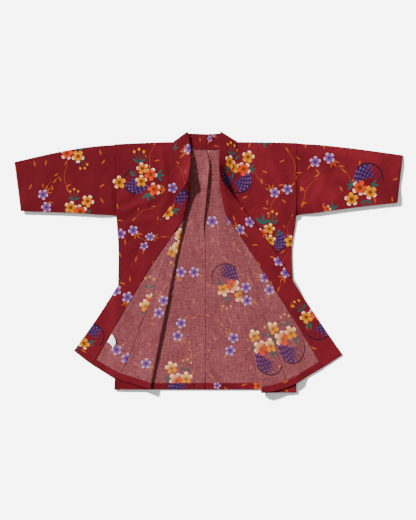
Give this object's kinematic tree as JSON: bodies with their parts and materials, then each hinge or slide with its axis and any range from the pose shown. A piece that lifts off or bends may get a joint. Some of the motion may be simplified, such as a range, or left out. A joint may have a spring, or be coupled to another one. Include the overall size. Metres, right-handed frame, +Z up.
{
  "type": "yukata jacket",
  "caption": "Short cotton yukata jacket laid flat on its back, sleeves out and both fronts folded open, floral print on deep red, pale wrong side.",
  "frame": {"origin": "under the middle of the outline, on the surface that the jacket lies on", "axes": "+X to the right as seen from above, along the sleeves; +Y from the hem to the collar; +Z up from the surface"},
  "size_m": [1.1842, 0.798, 0.0467],
  "materials": {
    "printed_red": "matte printed cotton",
    "wrong_side": "matte, pale heathered wrong side of the printed cotton",
    "label_white": "satin woven ribbon, blank"
  },
  "bodies": {
    "root": {"body_left": "printed_red", "overlap_left": "wrong_side", "collar_left": "printed_red", "sleeve_left": "printed_red", "hem_back_left": "printed_red", "hem_front_left": "printed_red", "label": "label_white", "body_right": "printed_red", "overlap_right": "wrong_side", "collar_right": "printed_red", "sleeve_right": "printed_red", "hem_back_right": "printed_red", "hem_front_right": "printed_red"}
  },
  "joints": []
}
